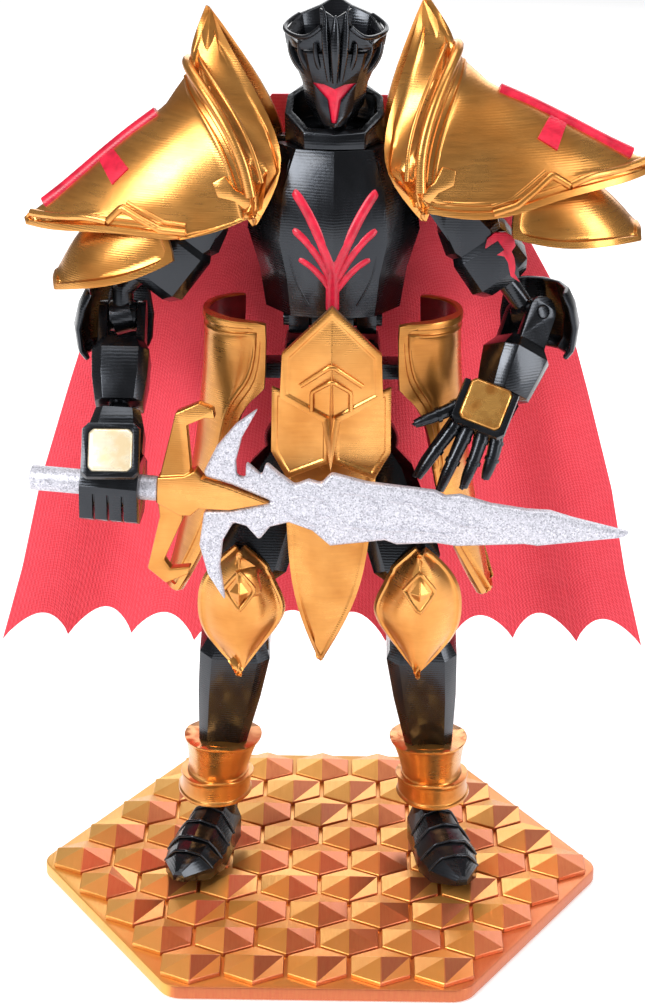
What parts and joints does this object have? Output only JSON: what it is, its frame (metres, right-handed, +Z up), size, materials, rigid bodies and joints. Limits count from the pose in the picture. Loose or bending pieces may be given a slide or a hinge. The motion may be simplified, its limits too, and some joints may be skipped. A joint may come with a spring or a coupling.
{
  "type": "action figure",
  "caption": "Jointed armoured knight figurine with horned helmet, large pauldrons, cloth cape and sword, standing on a hexagonal tiled base.",
  "frame": {"origin": "centre of the base plate's underside", "axes": "+Z up through the figure, -Y the way the figure faces, +X towards the figure's left hand"},
  "size_m": [0.1088, 0.0796, 0.1473],
  "materials": {
    "base_gold": "two-colour silk filament, gold and copper",
    "gold": "gold silk filament, glossy",
    "cream": "pale gold filament",
    "silver": "silver filament with fine glitter",
    "black": "glossy black filament",
    "red": "red filament",
    "cape_cloth": "thin woven cloth"
  },
  "bodies": {
    "base": {"base_plate": "base_gold", "base_tiles": "base_gold"},
    "pelvis": {"pelvis_block": "black"},
    "waist": {"abdomen_core": "black", "chest_bend_pin": "black"},
    "chest": {"chest_front": "black", "chest_back": "black", "chest_vein_inlay": "red", "gorget": "black", "cape_clasps": "gold"},
    "cape": {"cape": "cape_cloth"},
    "neck": {"neck_post": "black"},
    "head": {"helmet": "black", "visor": "red", "crown": "black"},
    "pauldron_right": {"pauldron_shell_right": "gold", "pauldron_collar_right": "gold", "pauldron_lower_right": "gold", "pauldron_band_right": "red"},
    "shoulder_right": {"shoulder_block_right": "black"},
    "upper_arm_right": {"upper_arm_right": "black", "elbow_pin_right": "black", "elbow_guard_right": "black"},
    "forearm_right": {"forearm_right": "black"},
    "hand_right": {"hand_right": "black", "hand_plate_right": "cream"},
    "thigh_right": {"thigh_right": "black", "knee_pin_right": "black", "knee_guard_right": "gold"},
    "shin_right": {"shin_right": "black", "ankle_cuff_upper_right": "gold", "ankle_cuff_lower_right": "gold"},
    "foot_right": {"foot_right": "black"},
    "tasset_right": {"tasset_right": "gold"},
    "pauldron_left": {"pauldron_shell_left": "gold", "pauldron_collar_left": "gold", "pauldron_lower_left": "gold", "pauldron_band_left": "red"},
    "shoulder_left": {"shoulder_block_left": "black"},
    "upper_arm_left": {"upper_arm_left": "black", "elbow_pin_left": "black", "elbow_guard_left": "black"},
    "forearm_left": {"forearm_left": "black"},
    "hand_left": {"hand_left": "black", "hand_plate_left": "gold"},
    "thigh_left": {"thigh_left": "black", "knee_pin_left": "black", "knee_guard_left": "gold"},
    "shin_left": {"shin_left": "black", "ankle_cuff_upper_left": "gold", "ankle_cuff_lower_left": "gold"},
    "foot_left": {"foot_left": "black"},
    "tasset_left": {"tasset_left": "gold"},
    "sword": {"sword_grip": "silver", "sword_guard": "gold", "sword_blade": "silver"},
    "fauld": {"fauld_blade": "gold", "fauld_upper": "gold", "fauld_wings": "gold"}
  },
  "joints": [
    {"name": "figure_lift_off", "type": "slide", "parent": "base", "child": "pelvis", "axis": [0, 0, 1], "range_m": [0, 0.03]},
    {"name": "waist_turn", "type": "hinge", "parent": "pelvis", "child": "waist", "pos_m": [0.0012, 0, 0.092], "axis": [0, 0, 1], "range_deg": [-6, 4]},
    {"name": "chest_bend", "type": "hinge", "parent": "waist", "child": "chest", "pos_m": [0.0012, 0, 0.097], "axis": [1, 0, 0], "range_deg": [-4, 3]},
    {"name": "cape_swing", "type": "hinge", "parent": "chest", "child": "cape", "pos_m": [0.0012, 0.0102, 0.128], "axis": [1, 0, 0], "range_deg": [0, 20]},
    {"name": "neck_nod", "type": "hinge", "parent": "chest", "child": "neck", "pos_m": [0.0012, 0.0005, 0.1218], "axis": [1, 0, 0], "range_deg": [-6, 3]},
    {"name": "head_turn", "type": "hinge", "parent": "neck", "child": "head", "pos_m": [0.0012, 0.0005, 0.127], "axis": [0, 0, 1], "range_deg": [-30, 30]},
    {"name": "pauldron_lift_right", "type": "hinge", "parent": "chest", "child": "pauldron_right", "pos_m": [-0.0074, 0, 0.1226], "axis": [0, 1, 0], "range_deg": [0, 14]},
    {"name": "shoulder_swing_right", "type": "hinge", "parent": "chest", "child": "shoulder_right", "pos_m": [-0.015, 0, 0.1175], "axis": [-1, 0, 0], "range_deg": [0, 12]},
    {"name": "arm_raise_right", "type": "hinge", "parent": "shoulder_right", "child": "upper_arm_right", "pos_m": [-0.015, 0, 0.1175], "axis": [0, 1, 0], "range_deg": [-10, 0]},
    {"name": "pauldron_lift_left", "type": "hinge", "parent": "chest", "child": "pauldron_left", "pos_m": [0.0098, 0, 0.1226], "axis": [0, -1, 0], "range_deg": [-12, 0]},
    {"name": "shoulder_swing_left", "type": "hinge", "parent": "chest", "child": "shoulder_left", "pos_m": [0.0174, 0, 0.1175], "axis": [-1, 0, 0], "range_deg": [-3, 6]},
    {"name": "arm_raise_left", "type": "hinge", "parent": "shoulder_left", "child": "upper_arm_left", "pos_m": [0.0174, 0, 0.1175], "axis": [0, -1, 0], "range_deg": [0, 6]},
    {"name": "elbow_bend_right", "type": "hinge", "parent": "upper_arm_right", "child": "forearm_right", "pos_m": [-0.031, 0, 0.097], "axis": [-1, 0, 0], "range_deg": [0, 30]},
    {"name": "elbow_bend_left", "type": "hinge", "parent": "upper_arm_left", "child": "forearm_left", "pos_m": [0.0315, 0, 0.098], "axis": [0.5034, -0.7836, 0.364], "range_deg": [-6, 6]},
    {"name": "wrist_turn_right", "type": "hinge", "parent": "forearm_right", "child": "hand_right", "pos_m": [-0.031, -0.011, 0.0854], "axis": [0, -0.6881, -0.7256], "range_deg": [0, 20]},
    {"name": "wrist_turn_left", "type": "hinge", "parent": "forearm_left", "child": "hand_left", "pos_m": [0.027, -0.008, 0.087], "axis": [-0.3141, -0.5584, -0.7678], "range_deg": [-10, 10]},
    {"name": "sword_in_grip", "type": "slide", "parent": "hand_right", "child": "sword", "axis": [0.9919, -0.1226, -0.0334], "range_m": [0, 0.01]},
    {"name": "fauld_swing", "type": "hinge", "parent": "pelvis", "child": "fauld", "pos_m": [0.0012, -0.0104, 0.0882], "axis": [-1, 0, 0], "range_deg": [-3, 4]},
    {"name": "tasset_swing_right", "type": "hinge", "parent": "pelvis", "child": "tasset_right", "pos_m": [-0.0108, 0, 0.089], "axis": [0, 1, 0], "range_deg": [0, 14]},
    {"name": "hip_swing_right", "type": "hinge", "parent": "pelvis", "child": "thigh_right", "pos_m": [-0.0054, 0.003, 0.076], "axis": [-1, 0, 0], "range_deg": [0, 12]},
    {"name": "knee_bend_right", "type": "hinge", "parent": "thigh_right", "child": "shin_right", "pos_m": [-0.0128, -0.004, 0.051], "axis": [1, 0, 0], "range_deg": [0, 25]},
    {"name": "ankle_tilt_right", "type": "hinge", "parent": "shin_right", "child": "foot_right", "pos_m": [-0.017, 0.0035, 0.0175], "axis": [-0.9511, 0.309, 0], "range_deg": [0, 8]},
    {"name": "tasset_swing_left", "type": "hinge", "parent": "pelvis", "child": "tasset_left", "pos_m": [0.0132, 0, 0.089], "axis": [0, -1, 0], "range_deg": [0, 14]},
    {"name": "hip_swing_left", "type": "hinge", "parent": "pelvis", "child": "thigh_left", "pos_m": [0.0078, 0.003, 0.076], "axis": [-1, 0, 0], "range_deg": [0, 12]},
    {"name": "knee_bend_left", "type": "hinge", "parent": "thigh_left", "child": "shin_left", "pos_m": [0.0152, -0.004, 0.051], "axis": [1, 0, 0], "range_deg": [0, 25]},
    {"name": "ankle_tilt_left", "type": "hinge", "parent": "shin_left", "child": "foot_left", "pos_m": [0.0182, 0.0035, 0.0175], "axis": [-0.9659, -0.2588, 0], "range_deg": [0, 8]}
  ]
}
